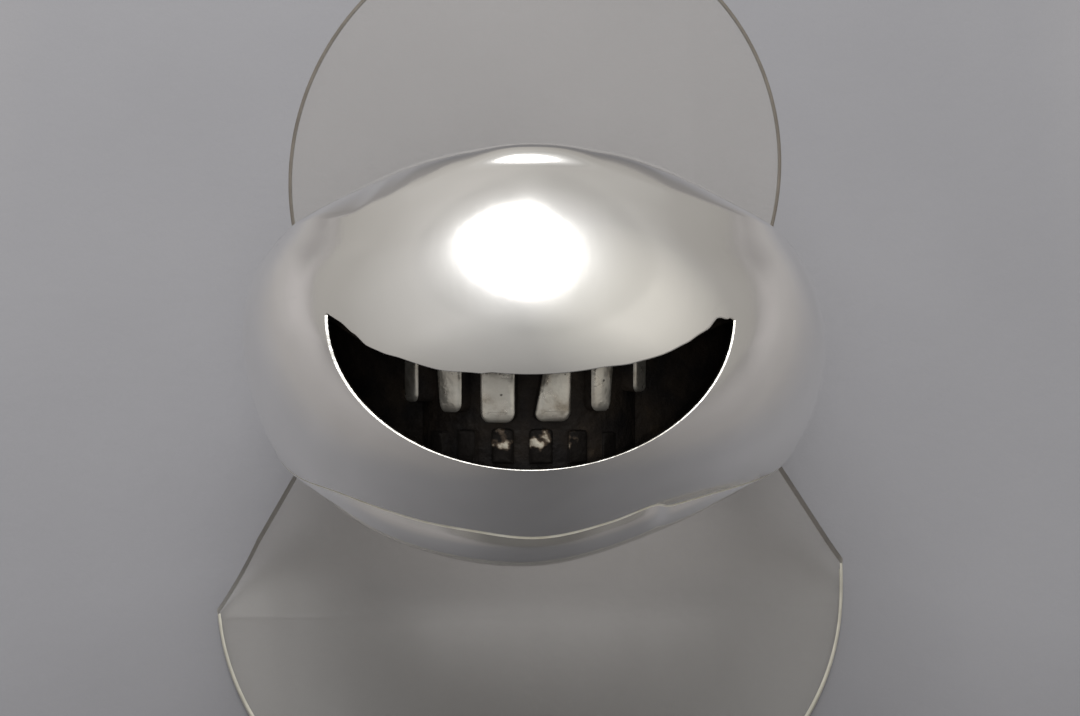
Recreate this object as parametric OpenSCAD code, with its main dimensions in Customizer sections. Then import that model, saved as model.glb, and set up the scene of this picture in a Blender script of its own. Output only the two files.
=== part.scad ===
// A cast silver dome ring with a grinning mouth, held on a clear plastic stand.
// Millimetres. +Z is up, the stand's foot lies on z = 0, and the dome faces -Y and up.
// The origin is the middle of the whole object's footprint.

/* [Ring size] */
// Inside diameter of the finger hole
finger_d = 19.2; // [18.4:0.1:19.6]
// Thickness of the sleeve between the finger and the hollow dome
sleeve_wall = 1.0; // [0.8:0.1:1.1]
// Wall of the domed shell
shell_wall = 1.1; // [0.9:0.1:1.2]
// Thickness of the metal at the two sides of the hollow
side_wall = 1.3; // [1.1:0.1:1.6]
// How far round from the dome's middle the hollow reaches, in degrees
hollow_reach = 56; // [50:1:60]

/* [Mouth] */
// Width from corner to corner
mouth_w = 16.4; // [15:0.1:17]
// Radius of the upper lip's curve
upper_lip_r = 15; // [14:0.1:16]
// How far the upper lip's middle hangs below the ring's middle
upper_lip_drop = 0.8; // [0.6:0.1:1]
// How far the lower lip's middle hangs below the ring's middle
lower_lip_drop = 4.6; // [4.2:0.1:4.8]
// Height of the corners above the ring's middle
mouth_corner = 1.6; // [1.3:0.1:1.8]

/* [Teeth] */
// Radius of the curved ridge that carries the teeth
ridge_r = 4.55; // [4.3:0.05:4.7]
// Distance of the ridge's axis from the finger hole's axis
ridge_centre = 8.5; // [8.3:0.1:8.6]
// Sideways place of the ridge
ridge_side = -0.2; // [-0.4:0.1:0.4]
// Half the height of the ridge
ridge_half = 4.8; // [4.4:0.1:4.9]
// How far the upper teeth stand out from the ridge
upper_relief = 0.6; // [0.4:0.05:0.7]
// How far the lower teeth stand out from the ridge
lower_relief = 0.3; // [0.2:0.05:0.4]

/* [Stand] */
// Thickness of the clear sheet
sheet_t = 0.5; // [0.4:0.05:0.6]
// Lean of the ring and the tongue back from lying flat
tilt = 35; // [34:0.5:36]
// How far below the finger hole's axis the sheet passes through it
sheet_drop = 4.9; // [4.8:0.1:5.1]
// Radius of the round foot
foot_r = 14.5; // [14:0.1:15]
// Radius of the bend between the foot and the waist
bend_r = 6; // [5:0.5:6]
// Width of the tongue's round end
tongue_w = 22.6; // [22:0.1:23]
// Length of the tongue's round end
tongue_l = 23.8; // [23:0.1:24]
// Distance of the round end's middle from the ring's middle
tongue_reach = 8.4; // [8.2:0.1:9]
// Gap between the sheet's waist and the finger hole
waist_gap = 0.25; // [0.2:0.05:0.3]

/* [Hidden] */
$fn = 96;

finger_r = finger_d / 2;
sleeve_r = finger_r + sleeve_wall;

// The ring's sections, one row every 30 degrees: from the back of the shank up its left side,
// over the dome and down the right. Radii are measured from the finger hole's axis, and the rest
// along it from the ring's middle. The ring is made by hand, so its sides and edges differ a little.
CROWN_R = 0;
CREASE_R = 1;
CROWN_U = 2;
BACK_CREASE = 3;
BACK_RIM = 4;
FRONT_CREASE = 5;
FRONT_RIM = 6;
ring_rows = [
    [11.40, 11.00, 0.0, 2.50, 2.60, 2.50, 2.60],
    [11.60, 11.05, 0.2, 2.80, 2.90, 2.70, 2.80],
    [11.90, 11.10, 0.6, 3.50, 3.65, 3.25, 3.40],
    [12.60, 11.30, 1.0, 4.60, 4.90, 4.10, 4.35],
    [13.75, 11.70, 1.1, 5.40, 6.05, 5.15, 5.70],
    [15.30, 12.10, 0.4, 6.35, 7.70, 6.40, 7.90],
    [16.00, 12.30, 0.0, 7.70, 8.65, 7.45, 8.70],
    [15.40, 12.10, 0.1, 6.40, 7.65, 6.00, 7.25],
    [13.85, 11.70, 0.4, 5.20, 5.75, 5.05, 5.25],
    [12.55, 11.30, 0.5, 4.30, 4.50, 4.15, 4.30],
    [12.00, 11.10, 0.3, 3.45, 3.60, 3.35, 3.45],
    [11.60, 11.05, 0.1, 2.75, 2.85, 2.75, 2.85],
];
BACK = 1;
FRONT = -1;
row_count = len(ring_rows);
row_step = 360 / row_count;
section_step = 5;
crown_steps = 8;
rim_share = 0.45; // where the rim stands furthest out, from the hole to the crease
rim_round = 0.4;
mouth_side = -0.15; // the grin sits a touch to the left
bore_cover = 1; // the lofted skin runs this far inside the hole before the hole is cut
past_ring = 40; // length of a cut that passes right through the ring
hollow_steps = 28;
mouth_clearance = 0.2; // the mouth's cut stops this far outside the sleeve

// The rim's profile, from the crease to just inside the hole: [share of the way out from the hole, inset].
rim_profile = [[0.75, 0.15], [rim_share, 0], [0.18, 0.12], [-0.12, rim_round]];

// Where the ring's middle stands above the table: its shank rests on its front edge.
ring_z = ring_rows[0][FRONT_CREASE] * sin(tilt) + ring_rows[0][CREASE_R] * cos(tilt);

// The teeth: [place round the ridge in degrees, width, biting edge's height, root's height].
TOOTH_TURN = 0;
TOOTH_W = 1;
TOOTH_EDGE = 2;
TOOTH_ROOT = 3;
upper_teeth = [
    [-63, 1.35, -1.95, 0.9],
    [-38, 1.55, -2.35, 0.9],
    [-12.5, 1.60, -2.75, 0.9],
    [12.5, 1.75, -2.70, 0.9],
    [37, 1.40, -2.30, 0.9],
    [62, 1.25, -1.55, 0.9],
];
lower_teeth = [
    [-49, 0.95, -3.15, -4.4],
    [-30, 1.00, -3.05, -4.4],
    [-11, 1.05, -3.00, -4.4],
    [8, 1.10, -3.00, -4.4],
    [27, 1.00, -3.05, -4.4],
    [46, 0.95, -3.15, -4.4],
];
tooth_root_depth = 1;
tooth_round = 0.4;

// The sheet's outline, in the ring's own axes turned back upright where it leans, and from above
// where it lies. Sideways places are x, and the ones along the finger hole are u.
waist_half = sqrt(pow(finger_r - waist_gap, 2) - pow(sheet_drop + sheet_t / 2, 2));
shoulder_u = 4.1; // the waist is this long on each side of the ring's middle
tongue_side = 0.04;
tongue_turn = -27; // the long way of the round end leans to the right
foot_side = -0.2;
foot_y = -5.6;
taper_left = [-11.13, -5.8];
taper_right = [11.55, -5.5];
taper_slope_left = 0.576; // how much wider the taper gets for each millimetre towards the foot
taper_slope_right = 0.65;
outline_lap = 0.2; // how far the two cuts of the outline run past each other
shoulder_overlap = 1; // how far the waist's strip runs into the tapers and the tongue
bend_steps = 12;
corner_left_y = -7.4;
corner_right_y = -5.1;

// Where the leaning sheet's middle would meet the foot's, and the tangent points of the bend.
meet_u = (sheet_t / 2 - ring_z + sheet_drop * cos(tilt)) / sin(tilt);
bend_reach = bend_r * tan(tilt / 2);
bend_end_u = meet_u + bend_reach;
bend_start_y = meet_u * cos(tilt) + sheet_drop * sin(tilt) - bend_reach;
bend_end_y = bend_start_y + bend_r * sin(tilt);

// The footprint's middle, which is where the origin goes.
foot_front = foot_y - foot_r;
tongue_back = (tongue_reach + tongue_l / 2) * cos(tilt) + sheet_drop * sin(tilt);
mid_y = (foot_front + tongue_back) / 2;

// A smooth curve through four neighbouring values, from the second to the third.
function smooth(a, b, c, d, t) =
    b + 0.5 * t * (c - a + t * (2 * a - 5 * b + 4 * c - d + t * (3 * (b - c) + d - a)));

// One column of the ring's table at an angle from the dome's middle, positive to the right.
function ring_at(angle, column) =
    let (place = ((angle + 540) % 360) / row_step)
    let (k = floor(place))
    smooth(ring_rows[(k + row_count - 1) % row_count][column], ring_rows[k][column],
           ring_rows[(k + 1) % row_count][column], ring_rows[(k + 2) % row_count][column], place - k);

function crease_of(angle) = ring_at(angle, CREASE_R);

function crease_half(angle, side) = ring_at(angle, side == BACK ? BACK_CREASE : FRONT_CREASE);

function rim_half(angle, side) = ring_at(angle, side == BACK ? BACK_RIM : FRONT_RIM);

// The crown's arc from its highest place towards one crease, as [half, radius], moved in by a
// wall's thickness and stopping short of the crease by an inset.
function crown_arc(angle, side, wall, inset) =
    let (rise = ring_at(angle, CROWN_R) - crease_of(angle))
    let (start = side * ring_at(angle, CROWN_U))
    let (span = crease_half(angle, side) - start)
    let (arc_r = (span * span + rise * rise) / (2 * rise))
    let (reach = asin((span - inset) / (arc_r - wall)))
    [for (i = [0 : crown_steps])
        [start + (arc_r - wall) * sin(reach * i / crown_steps),
         ring_at(angle, CROWN_R) - arc_r + (arc_r - wall) * cos(reach * i / crown_steps)]];

// The rim, from the crease down to the hole and on inside it.
function rim_points(angle, side) =
    let (depth = crease_of(angle) - finger_r)
    let (half = rim_half(angle, side))
    let (overhang = half - crease_half(angle, side))
    concat(
        [for (p = rim_profile)
            [half - p[1] * (p[0] > rim_share ? overhang : 1), finger_r + p[0] * depth]],
        [[half - rim_round, finger_r - bore_cover]]);

function half_section(angle, side) =
    concat(crown_arc(angle, side, 0, 0), rim_points(angle, side));

function half_hollow(angle, side) =
    concat(crown_arc(angle, side, shell_wall, side_wall),
           [[crease_half(angle, side) - side_wall, sleeve_r]]);

// A whole closed section, as [place along the finger hole, radius], from its two halves, which
// both start at the crown's highest place.
function both_halves(front, back) =
    concat([for (i = [len(front) - 1 : -1 : 1]) [-front[i][0], front[i][1]]], back);

// A section's points turned about the finger hole's axis.
function turned(section, angle) =
    [for (p = section) [p[1] * sin(angle), p[0], p[1] * cos(angle)]];

function flat(lists) = [for (l = lists) each l];

// The skin from each of the first sections to its neighbour, n points each, as triangles.
function skin(first, last, n, wrap) =
    [for (i = [first : last], j = [0 : n - 1])
        let (a = i * n, b = ((i + 1) % wrap) * n, k = (j + 1) % n)
        each [[a + j, a + k, b + k], [a + j, b + k, b + j]]];

// The ring's outside, filled in past the finger hole.
module lofted_ring() {
    angles = [0 : section_step : 360 - section_step];
    sections = [for (a = angles)
        turned(both_halves(half_section(a, FRONT), half_section(a, BACK)), a)];
    n = len(sections[0]);
    polyhedron(flat(sections), skin(0, len(sections) - 1, n, len(sections)));
}

// The space between the domed shell and the sleeve.
module lofted_hollow() {
    sections = [for (i = [0 : hollow_steps])
        let (a = hollow_reach * (2 * i / hollow_steps - 1))
        turned(both_halves(half_hollow(a, FRONT), half_hollow(a, BACK)), a)];
    n = len(sections[0]);
    polyhedron(flat(sections), concat(
        skin(0, hollow_steps - 1, n, hollow_steps + 1),
        [[for (j = [n - 1 : -1 : 0]) j]],
        [[for (j = [0 : n - 1]) hollow_steps * n + j]]));
}

// An oval's outline.
function oval(half_w, half_h) = [for (i = [0 : 71]) [half_w * cos(5 * i), half_h * sin(5 * i)]];

// The grin, an oval below the round upper lip, cut through the shell.
module mouth_cut() {
    start = sleeve_r + mouth_clearance;
    translate([mouth_side, 0, start])
        linear_extrude(height = ring_at(0, CROWN_R) - start + 1)
            difference() {
                translate([0, mouth_corner])
                    polygon(oval(mouth_w / 2, mouth_corner + lower_lip_drop));
                translate([0, upper_lip_r - upper_lip_drop])
                    circle(r = upper_lip_r);
            }
}

// A tooth seen from the front, square at its root and round at its biting edge.
module tooth_face(w, edge, root) {
    inward = sign(root - edge);
    corner_y = edge + inward * tooth_round;
    for (side = [-1, 1])
        translate([side * (w / 2 - tooth_round), corner_y])
            circle(r = tooth_round, $fn = 32);
    translate([-w / 2, min(corner_y, root)])
        square([w, abs(root - corner_y)]);
    translate([tooth_round - w / 2, min(edge, root)])
        square([w - 2 * tooth_round, abs(root - edge)]);
}

// A row of teeth round the ridge, standing out from it by the relief.
module teeth(rows, relief) {
    for (t = rows)
        translate([ridge_side, 0, ridge_centre])
            rotate([0, t[TOOTH_TURN], 0])
                translate([0, 0, ridge_r - tooth_root_depth])
                    linear_extrude(height = tooth_root_depth + relief)
                        tooth_face(t[TOOTH_W], t[TOOTH_EDGE], t[TOOTH_ROOT]);
}

// A cylinder that lies along the finger hole.
module along_finger(r, h) {
    rotate([90, 0, 0])
        cylinder(r = r, h = h, center = true);
}

// The curved ridge with its teeth, which stands on the sleeve in the hollow.
module toothed_ridge() {
    difference() {
        union() {
            translate([ridge_side, 0, ridge_centre])
                along_finger(ridge_r, 2 * ridge_half);
            teeth(upper_teeth, upper_relief);
            teeth(lower_teeth, lower_relief);
        }
        along_finger(sleeve_r - sleeve_wall / 2, past_ring);
    }
}

// Puts the ring's own axes, finger hole along Y and dome up, where the stand holds it.
module in_place() {
    translate([0, -mid_y, ring_z])
        rotate([tilt, 0, 0])
            children();
}

module ring() {
    color([0.86, 0.85, 0.83])
        in_place()
            union() {
                difference() {
                    lofted_ring();
                    lofted_hollow();
                    mouth_cut();
                    along_finger(finger_r, past_ring);
                }
                toothed_ridge();
            }
}

// A side of the taper at a place along the finger hole.
function taper_x(top, slope, u) = top[0] + sign(top[0]) * slope * (top[1] - u);

// Half the foot's width at a place along it.
function foot_half(y) = sqrt(foot_r * foot_r - pow(y - foot_y, 2));

// One face of the sheet seen from the side, [y, z], off its middle by lift.
function sheet_face(lift) = concat(
    [[foot_front - 1, sheet_t / 2 + lift]],
    [for (i = [0 : bend_steps])
        let (a = tilt * i / bend_steps)
        [bend_start_y + (bend_r - lift) * sin(a), sheet_t / 2 + bend_r - (bend_r - lift) * cos(a)]],
    [let (u = tongue_reach + tongue_l, w = lift - sheet_drop)
        [u * cos(tilt) - w * sin(tilt), ring_z + u * sin(tilt) + w * cos(tilt)]]);

// The sheet, flat, bent and leaning, before its outline is cut.
module uncut_sheet() {
    lower = sheet_face(-sheet_t / 2);
    upper = sheet_face(sheet_t / 2);
    rotate([90, 0, 90])
        linear_extrude(height = 4 * foot_r, center = true)
            polygon(concat(lower, [for (i = [len(upper) - 1 : -1 : 0]) upper[i]]));
}

// The outline from above: the round foot up to its two corners, and on along the tapers.
module foot_outline() {
    past = bend_end_y + outline_lap;
    past_u = bend_end_u + outline_lap;
    left = [foot_side - foot_half(corner_left_y), corner_left_y];
    right = [foot_side + foot_half(corner_right_y), corner_right_y];
    intersection() {
        translate([foot_side, foot_y])
            circle(r = foot_r);
        polygon([left, right, [3 * foot_r, -3 * foot_r], [-3 * foot_r, -3 * foot_r]]);
    }
    polygon([
        left,
        [foot_side, corner_left_y - 1],
        right,
        [taper_x(taper_right, taper_slope_right, past_u), past],
        [taper_x(taper_left, taper_slope_left, past_u), past],
    ]);
}

// The outline square to the leaning sheet: the tapers, the waist between the shoulders, the tongue.
module waist_outline() {
    from_u = bend_end_u - outline_lap;
    polygon([
        [taper_x(taper_left, taper_slope_left, from_u), from_u],
        [taper_x(taper_right, taper_slope_right, from_u), from_u],
        [taper_x(taper_right, taper_slope_right, -shoulder_u), -shoulder_u],
        [taper_x(taper_left, taper_slope_left, -shoulder_u), -shoulder_u],
    ]);
    square([2 * waist_half, 2 * (shoulder_u + shoulder_overlap)], center = true);
    intersection() {
        translate([tongue_side, tongue_reach])
            rotate(tongue_turn)
                polygon(oval(tongue_w / 2, tongue_l / 2));
        translate([-tongue_w, shoulder_u])
            square([2 * tongue_w, 2 * tongue_l]);
    }
}

module stand() {
    color([0.86, 0.88, 0.88, 0.4])
        intersection() {
            translate([0, -mid_y, 0])
                uncut_sheet();
            union() {
                translate([0, -mid_y, -1])
                    linear_extrude(height = 2 * bend_r)
                        foot_outline();
                in_place()
                    translate([0, 0, -sheet_drop - sheet_t])
                        linear_extrude(height = 2 * sheet_t)
                            waist_outline();
            }
        }
}

ring();
stand();
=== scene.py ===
"""The looks of a hand-made silver dome ring and the clear plastic stand that holds it."""

from math import asin, atan2, cos, degrees, floor, hypot, pi, radians, sin, sqrt, tan

import bmesh
import bpy
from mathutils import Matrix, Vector
from mathutils.kdtree import KDTree


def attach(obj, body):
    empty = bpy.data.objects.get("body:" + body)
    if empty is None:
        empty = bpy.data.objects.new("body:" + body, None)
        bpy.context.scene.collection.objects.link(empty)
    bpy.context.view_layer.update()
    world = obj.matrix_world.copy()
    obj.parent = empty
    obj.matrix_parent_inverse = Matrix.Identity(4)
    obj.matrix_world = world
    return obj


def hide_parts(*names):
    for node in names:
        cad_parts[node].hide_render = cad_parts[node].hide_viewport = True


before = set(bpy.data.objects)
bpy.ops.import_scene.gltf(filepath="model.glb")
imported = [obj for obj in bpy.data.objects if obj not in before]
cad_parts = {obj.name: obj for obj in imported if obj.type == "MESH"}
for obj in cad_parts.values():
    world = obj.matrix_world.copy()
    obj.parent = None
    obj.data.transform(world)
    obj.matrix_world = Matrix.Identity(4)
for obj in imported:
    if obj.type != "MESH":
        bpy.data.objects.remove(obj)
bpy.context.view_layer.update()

MM = 0.001

# The part's own sizes, in millimetres and degrees, as the solids have them. A place in the ring's
# own axes is x to the side, u along the finger hole towards the back, and r out from its middle.
LEAN = 35
RING_MIDDLE = (0, 0.3303, 10.4447)
FINGER_R = 9.6
SLEEVE_R = 10.6
SHELL_WALL = 1.1
SIDE_WALL = 1.3
HOLLOW_REACH = 56

# The ring's section at even steps round the finger, from the shank over the left side. The columns
# are named below.
ROW_STEP = 30
RING_ROWS = [
    [11.40, 11.00, 0.0, 2.50, 2.60, 2.50, 2.60],
    [11.60, 11.05, 0.2, 2.80, 2.90, 2.70, 2.80],
    [11.90, 11.10, 0.6, 3.50, 3.65, 3.25, 3.40],
    [12.60, 11.30, 1.0, 4.60, 4.90, 4.10, 4.35],
    [13.75, 11.70, 1.1, 5.40, 6.05, 5.15, 5.70],
    [15.30, 12.10, 0.4, 6.35, 7.70, 6.40, 7.90],
    [16.00, 12.30, 0.0, 7.70, 8.65, 7.45, 8.70],
    [15.40, 12.10, 0.1, 6.40, 7.65, 6.00, 7.25],
    [13.85, 11.70, 0.4, 5.20, 5.75, 5.05, 5.25],
    [12.55, 11.30, 0.5, 4.30, 4.50, 4.15, 4.30],
    [12.00, 11.10, 0.3, 3.45, 3.60, 3.35, 3.45],
    [11.60, 11.05, 0.1, 2.75, 2.85, 2.75, 2.85],
]
CROWN_R = 0
CREASE_R = 1
CROWN_U = 2
CREASE = {"back": 3, "front": 5}
RIM = {"back": 4, "front": 6}

# How far the filed crease strays from the even one, as [angle, outwards].
FRONT_STRAY = [
    [-80, 0], [-60, 0.1], [-42, -0.12], [-24, 0.09], [-10, -0.07], [2, 0], [15, -0.05],
    [23, -0.18], [28.5, 0.16], [42, 0.1], [60, 0.1], [80, 0],
]
BACK_STRAY = [[-50, 0], [-36, -0.3], [-31, -0.1], [-24, 0.1], [-16, 0.3], [0, 0.03], [16, 0.2], [36, 0]]

# How far the back rim strays from the even one, as [angle, outwards].
BACK_RIM_STRAY = [[-74, 0], [-28, 0.17], [-4, 0], [4, 0], [26, 0.2], [60, 0]]

# How much fuller the crown is at its back end, as [angle, outwards], from which share of the arc
# on, by which power it grows from there, and the most that this share may come to.
BACK_LIFT = [[-76, 0], [-44, 0.6], [-27, 0.64], [-3, 0], [3, 0], [27, 0.66], [44, 0.7], [80, 0]]
LIFT_START = 0.1
LIFT_POWER = 2.4
LIFT_MOST = 1.2

# The crown's arc ends in a straight slope, flatter by this angle halfway between the dome's middle
# and this turn.
SLOPE_FLATTER = 16
SLOPE_END = 75

# The brim outside the crease slopes down by this angle. It is flatter over the dome's middle. At
# the back it is steeper beside the middle, by a share of the last angle, as [angle, share].
BRIM_SLOPE = 20
MIDDLE_FLATTER = 8
BESIDE_STEEPER = 35
BESIDE = [[4, 0], [15, 1], [55, 1], [90, 0]]

# The rim's curves. The brim's handles are shares of its overhang and of the drop from its corner to
# the belly. The belly, also beside the middle, and the lower handle are shares of the rim's depth.
# The edge at the finger hole is set in and a little rounded.
BRIM_HANDLE = 0.6
CORNER_HANDLE = 0.45
BELLY = 0.45
BESIDE_BELLY = 0.25
LOWER_HANDLE = 0.2
EDGE_INSET = 0.29
EDGE_ROUND = 0.02

# The crease's fillet over the dome's middle, the share of it left at the sides, the most of the
# brim's curve that it takes, and the shortest brim that it is worked out for.
FILLET = {"back": 0.2, "front": 0.05}
FILLET_SIDES = 0.3
FILLET_MOST = 0.4
LEAST_BRIM = 0.2

# How the ring's skin is divided.
CROWN_CELLS = 60
FILLET_CELLS = 4
BRIM_CELLS = 10
LOWER_RIM_CELLS = 6
BORE_CELLS = 8
TURNS = 240

# The patch of skin round the mouth: its reach from the middle, its columns and loops, how much
# the loops crowd towards the lip, how far before the lip they turn square to it, and over how many
# neighbours to each side that direction is evened out.
PATCH_REACH = 66
PATCH_COLUMNS = 88
PATCH_LOOPS = 24
LOOP_CROWDING = 1.5
LIP_APPROACH = 1.6
LIP_NEIGHBOURS = 6

# The mouth: a circle's arc above, an oval below, and a right corner cut blunt.
MOUTH_SIDE = -0.15
UPPER_LIP_R = 15
UPPER_LIP_U = 14.2
MOUTH_HALF_W = 8.2
MOUTH_U = 1.6
MOUTH_HALF_H = 6.2
MOUTH_BLUNT = 0.3

# How far the cut upper lip sinks below its even arc, as [x, down].
LIP_STRAY = [
    [-7.8, 0], [-7.24, 0.15], [-6.65, 0.36], [-6.06, 0.35], [-5.23, 0.27], [-3.94, 0.27],
    [-2.17, 0.1], [-1.6, 0], [2.6, 0], [3.97, 0.13], [5.15, 0.18], [6.09, 0.12], [6.65, 0.02],
    [6.95, 0], [7.35, -0.22], [7.85, 0.08], [8.1, 0.3],
]

# The lip's bevel: its width at the mouth's middle, how much more it has this far to the side, the
# shares of its width where it bends, how steep it is, and the least cosine that a corner of it is
# drawn out by.
UPPER_BEVEL = 0.02
UPPER_BEVEL_MORE = 0.03
LOWER_BEVEL = 0.022
LOWER_BEVEL_LEFT_MORE = 0.09
LOWER_BEVEL_RIGHT_MORE = 0.05
BEVEL_SIDE = 8
BEVEL_BENDS = (0.55, 0)
BEVEL_STEEPNESS = 0.9
CORNER_LEAST = 0.45

# The loops behind the mouth: down the cut, under the shell, down the hollow's side, over its floor.
CUT_STEPS = (0.15, 0.5, 1)
ROOF_LOOPS = 6
SIDE_STEPS = (0.3, 0.7, 1)
FLOOR_STEPS = (0.25, 0.5, 0.75, 0.95)

# The shell's finishes, by their number.
LIP = 1
BLACKENED = 2
FILED = 3

# The ridge behind the mouth.
RIDGE_R = 4.55
RIDGE_W = 8.5
RIDGE_SIDE = -0.2
RIDGE_HALF = 4.8
RIDGE_FOOT_W = 9.65
RIDGE_ROUND = 0.25

# The teeth. Each row gives the turn round the ridge, the width, and the places of bite and root.
TOOTH_ROUND = 0.4
TOOTH_ROOT_DEPTH = 1
UPPER_RELIEF = 0.6
LOWER_RELIEF = 0.3
TOOTH_TRIM = 0.16
UPPER_TEETH = [
    [-63, 1.35, -1.95, 0.9],
    [-38, 1.55, -2.35, 0.9],
    [-12.5, 1.60, -2.75, 0.9],
    [12.5, 1.75, -2.70, 0.9],
    [37, 1.40, -2.30, 0.9],
    [62, 1.25, -1.55, 0.9],
]
LOWER_TEETH = [
    [-49, 0.95, -3.15, -4.4],
    [-30, 1.00, -3.05, -4.4],
    [-11, 1.05, -3.00, -4.4],
    [8, 1.10, -3.00, -4.4],
    [27, 1.00, -3.05, -4.4],
    [46, 0.95, -3.15, -4.4],
]

# How far each upper tooth sits to the right, and how much it is filed narrower, outside at the
# bite and inside at the root. The lower teeth all sit as far to one side.
UPPER_FINISH = [
    [-0.34, 0, 0],
    [-0.19, 0.5, 0],
    [-0.19, 0.05, 0],
    [-0.12, 0.12, 0.9],
    [-0.01, 0.6, 0],
    [0.09, 0.2, 0],
]
LOWER_SHIFT = -0.17

# The blank that every tooth is drawn out from, and the steps of its full face, as [inset, rise].
BLANK_W = 1.6
BLANK_TALL = 3.6
BLANK_FACE = [[0.04, 0.05], [0.07, 0.05], [0.1, 0.03], [0.2, 0.02]]

# The clear sheet. A taper is a point on it, as x and u, and how far its x moves for each millimetre
# towards the foot.
SHEET_T = 0.5
SHEET_DROP = 4.9
FOOT_R = 14.5
FOOT_SIDE = -0.2
FOOT_Y = -5.6
BEND_R = 6
BEND_START_Y = -7.908
BEND_END_U = -8.885
CORNER_LEFT_Y = -7.4
CORNER_RIGHT_Y = -5.1
TAPER_LEFT = (-11.13, -5.8, -0.576)
TAPER_RIGHT = (11.55, -5.5, 0.65)
SHOULDER_U = 4.1
WAIST_HALF = 7.8
TONGUE_W = 22.6
TONGUE_L = 23.8
TONGUE_REACH = 8.4
TONGUE_SIDE = 0.04
TONGUE_TURN = -27

# The blank that the sheet is cut from, its cells round the bend, and the cells of a round outline.
BLANK_SHEET_W = 60
BLANK_MARGIN = 1
BEND_CELLS = 24
ROUND_CELLS = 288

# The foot's outline goes on past the bend in two steps, and the waist's outline starts a little
# before its end. The foot's outline becomes a block between two heights.
FOOT_STEPS = (0.2, 4.5)
WAIST_START = 4.3
FOOT_BLOCK = (-1, 11)

# The sheet's edges are broken, except from the line through the foot's corners to the ring.
EDGE_BREAK = 0.14
CORNER_LINE_Y = -6.1
CORNER_LINE_RISE = 0.08
SHARP_TO_Y = 0.1

# How close two points of the spun skin and of the finished one are to become one, and a cut's slack.
SPUN_WELD = 0.002
WELD = 0.0005
CUT_SLACK = 0.0001

# The ways that the finger hole and the dome's middle face.
HOLE_WAY = Vector((0, cos(radians(LEAN)), sin(radians(LEAN))))
DOME_WAY = Vector((0, -sin(radians(LEAN)), cos(radians(LEAN))))

# The camera looks straight at the dome. Its shift is in the photo's pixels.
CAMERA_AWAY = 130
CAMERA_LENS = 96.93
CAMERA_SENSOR = 36
CAMERA_CLIP = 5
CAMERA_SHIFT = (6, -4)
PHOTO_W = 1080

# The floor lies just below the sheet's underside.
FLOOR_SIZE = 3000
FLOOR_DROP = 0.02

# The ways to the lamp and its surround, and to the parts of the room that are brighter or darker.
LAMP_WAY = Vector((-0.09, 0.29, 0.95)).normalized()
SURROUND_WAY = (0, 0.326, 0.946)
UP = (0, 0, 1)
BACK_WAY = (-0.34, 0.94, 0.25)
FRONT_WAY = (0, -0.978, 0.208)
RIGHT_WAY = (0.63, -0.11, 0.77)
LAMP_COLOUR = (1, 0.985, 0.96)


def smooth(a, b, c, d, t):
    """A smooth curve through four neighbouring values, from the second to the third."""
    return b + 0.5 * t * (c - a + t * (2 * a - 5 * b + 4 * c - d + t * (3 * (b - c) + d - a)))


def signed(angle):
    """An angle as a turn from the dome's middle, from -180 to 180 degrees, positive to the right."""
    return (angle + 180) % 360 - 180


def ring_at(angle, column):
    """One column of the ring's table at an angle from the dome's middle."""
    place = (signed(angle) + 180) / ROW_STEP
    k = floor(place)
    rows = [RING_ROWS[(k + i) % len(RING_ROWS)][column] for i in (-1, 0, 1, 2)]
    return smooth(*rows, place - k)


def ring_point(angle, u, r):
    """A point in the ring's own axes, in metres."""
    return Vector((r * sin(radians(angle)), u, r * cos(radians(angle)))) * MM


def stray(points, angle):
    """How far a hand-worked line strays at a place, eased between the listed ones."""
    if angle <= points[0][0]:
        return points[0][1]
    if angle >= points[-1][0]:
        return points[-1][1]
    for (a, low), (b, high) in zip(points, points[1:]):
        if angle <= b:
            t = (angle - a) / (b - a)
            return low + (high - low) * t * t * (3 - 2 * t)


def bow_point(a, b, c, t):
    """A point on a curve with one handle."""
    return tuple((1 - t) ** 2 * a[i] + 2 * t * (1 - t) * b[i] + t * t * c[i] for i in (0, 1))


def curve_point(p, t):
    """A point on a curve with two handles."""
    s = 1 - t
    weights = (s * s * s, 3 * s * s * t, 3 * s * t * t, t * t * t)
    return tuple(sum(k * q[i] for k, q in zip(weights, p)) for i in (0, 1))


def crown_rise(angle):
    """How far the crown's highest place stands above its creases."""
    return ring_at(angle, CROWN_R) - ring_at(angle, CREASE_R)


def crown_arc(angle, side):
    """The crown's arc on one side of its highest place: its start along the hole and its radius."""
    start = ring_at(angle, CROWN_U)
    sign = 1 if side == "back" else -1
    span = ring_at(angle, CREASE[side]) - sign * start
    rise = crown_rise(angle)
    return start, (span * span + rise * rise) / (2 * rise)


def crown_r(angle, u, wall=0):
    """The crown's radius at a place along the finger hole, moved in by a wall's thickness.

    At the back, the arc ends in a straight and fuller slope on both sides of the dome's middle.
    """
    side = "back" if u > ring_at(angle, CROWN_U) else "front"
    start, arc_r = crown_arc(angle, side)
    away = abs(u - start)
    lift = 0
    if side == "back":
        turn = signed(angle)
        span = ring_at(angle, CREASE["back"]) - start
        flatter = radians(SLOPE_FLATTER) * sin(pi * min(abs(turn) / SLOPE_END, 1)) ** 2
        tilt = asin(span / arc_r) - flatter
        arc_r = (span * tan(tilt) - crown_rise(angle)) / (1 / cos(tilt) - 1)
        knee = (arc_r - wall) * sin(tilt)
        lifted = min(max(away / span - LIFT_START, 0) / (1 - LIFT_START), LIFT_MOST)
        lift = stray(BACK_LIFT, turn) * lifted ** LIFT_POWER
        if away > knee:
            drop = arc_r - (arc_r - wall) * cos(tilt) + (away - knee) * tan(tilt)
            return ring_at(angle, CROWN_R) - drop + lift
    reach = max((arc_r - wall) ** 2 - away ** 2, 0)
    return ring_at(angle, CROWN_R) - arc_r + sqrt(reach) + lift


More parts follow.
